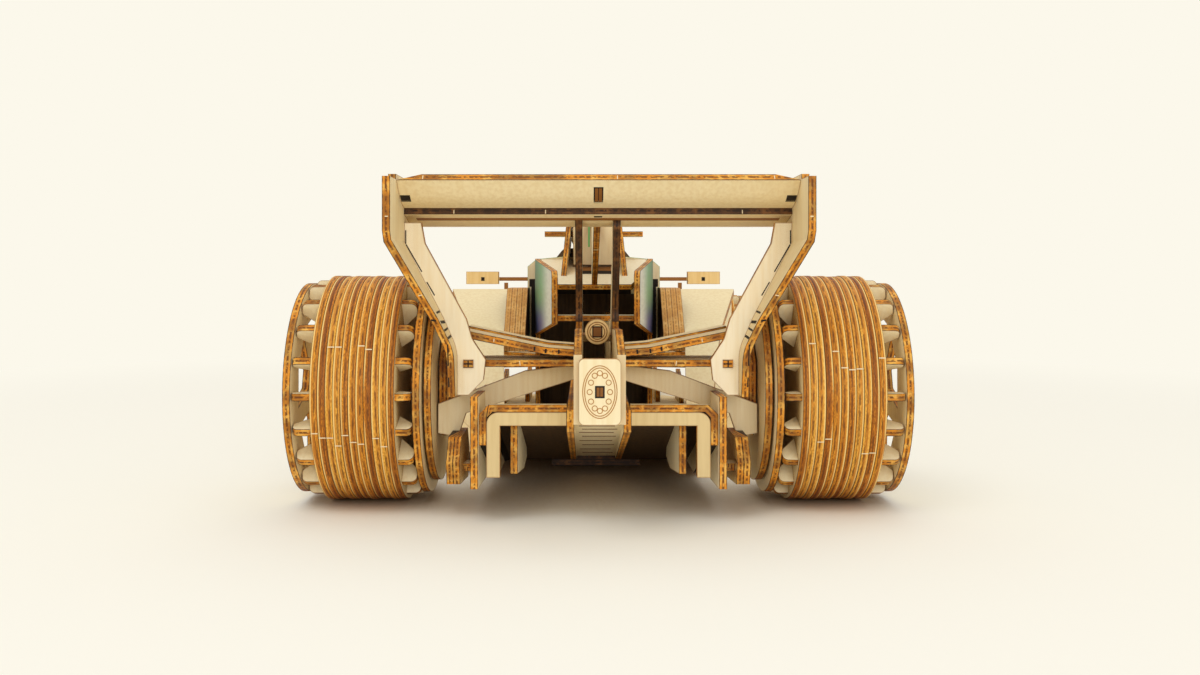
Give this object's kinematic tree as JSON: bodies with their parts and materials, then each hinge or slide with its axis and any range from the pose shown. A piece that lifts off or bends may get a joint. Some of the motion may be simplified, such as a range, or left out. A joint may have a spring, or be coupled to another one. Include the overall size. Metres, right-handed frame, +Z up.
{
  "type": "wooden model racing car",
  "caption": "Slot-together plywood model of an open wheel racing car with finned turning wheels, linked steering, wings, diffuser and an open cockpit.",
  "frame": {"origin": "middle of the car's length and width, on the plane that the wheels stand on", "axes": "+Y forward, +X to the right, +Z up"},
  "size_m": [0.166, 0.452, 0.09],
  "materials": {
    "ply": "raw birch ply with dark laser-cut edges",
    "printed_ply": "ply with a printed green tint"
  },
  "bodies": {
    "body": {"airbox_shell": "ply", "airbox_sides": "ply", "beam_wing": "ply", "camera_bar": "ply", "cover_frames": "printed_ply", "cover_sides": "printed_ply", "diffuser_fences": "ply", "diffuser_frames": "ply", "diffuser_roof": "ply", "duct_fins": "ply", "engine_deck": "ply", "exhaust": "ply", "floor_board": "ply", "floor_fences": "ply", "front_arms": "ply", "front_wing_endplates": "ply", "front_wing_flaps": "ply", "front_wing_plane": "ply", "halo": "ply", "headrest": "ply", "keel": "ply", "light_plate": "ply", "mirrors": "ply", "nose_panels": "ply", "nose_sides": "ply", "plank": "ply", "rear_arms": "ply", "rear_uprights": "ply", "seat": "ply", "shark_fin": "printed_ply", "shoulder_panels": "printed_ply", "sidepod_inlets": "ply", "sidepod_inner_walls": "ply", "sidepod_tops": "ply", "sidepod_walls": "ply", "spine_sides": "ply", "steering_wheel": "ply", "tie_boards": "ply", "tub_deck": "ply", "tub_formers": "ply", "tub_sides": "ply", "wing_braces": "ply", "wing_endplates": "ply", "wing_flap": "ply", "wing_main": "ply"},
    "rear_wheel_right": {"rear_tyre_right": "ply", "rear_wheel_right": "ply"},
    "rear_wheel_left": {"rear_tyre_left": "ply", "rear_wheel_left": "ply"},
    "knuckle_right": {"front_knuckle_right": "ply"},
    "knuckle_left": {"front_knuckle_left": "ply"},
    "front_wheel_right": {"front_tyre_right": "ply", "front_wheel_right": "ply"},
    "front_wheel_left": {"front_tyre_left": "ply", "front_wheel_left": "ply"},
    "track_rod": {"track_rod": "ply"}
  },
  "joints": [
    {"name": "rear_wheel_right_spin", "type": "hinge", "parent": "body", "child": "rear_wheel_right", "pos_m": [0.065, -0.166, 0.032], "axis": [1, 0, 0], "continuous": true},
    {"name": "rear_wheel_left_spin", "type": "hinge", "parent": "body", "child": "rear_wheel_left", "pos_m": [-0.065, -0.166, 0.032], "axis": [1, 0, 0], "continuous": true},
    {"name": "steer_right", "type": "hinge", "parent": "body", "child": "knuckle_right", "pos_m": [0.048, 0.13, 0.028], "axis": [0, 0, 1], "range_deg": [-15, 15]},
    {"name": "steer_left", "type": "hinge", "parent": "body", "child": "knuckle_left", "pos_m": [-0.048, 0.13, 0.028], "axis": [0, 0, 1], "range_deg": [-15, 15]},
    {"name": "front_wheel_right_spin", "type": "hinge", "parent": "knuckle_right", "child": "front_wheel_right", "pos_m": [0.068, 0.13, 0.028], "axis": [1, 0, 0], "continuous": true},
    {"name": "front_wheel_left_spin", "type": "hinge", "parent": "knuckle_left", "child": "front_wheel_left", "pos_m": [-0.068, 0.13, 0.028], "axis": [1, 0, 0], "continuous": true},
    {"name": "track_rod_slide", "type": "slide", "parent": "body", "child": "track_rod", "axis": [1, 0, 0], "range_m": [-0.00315, 0.00315]}
  ],
  "couplings": [
    {"joint": "steer_left", "follows": "steer_right", "ratio": 1},
    {"joint": "track_rod_slide", "follows": "steer_right", "m_per_rad": 0.012}
  ]
}
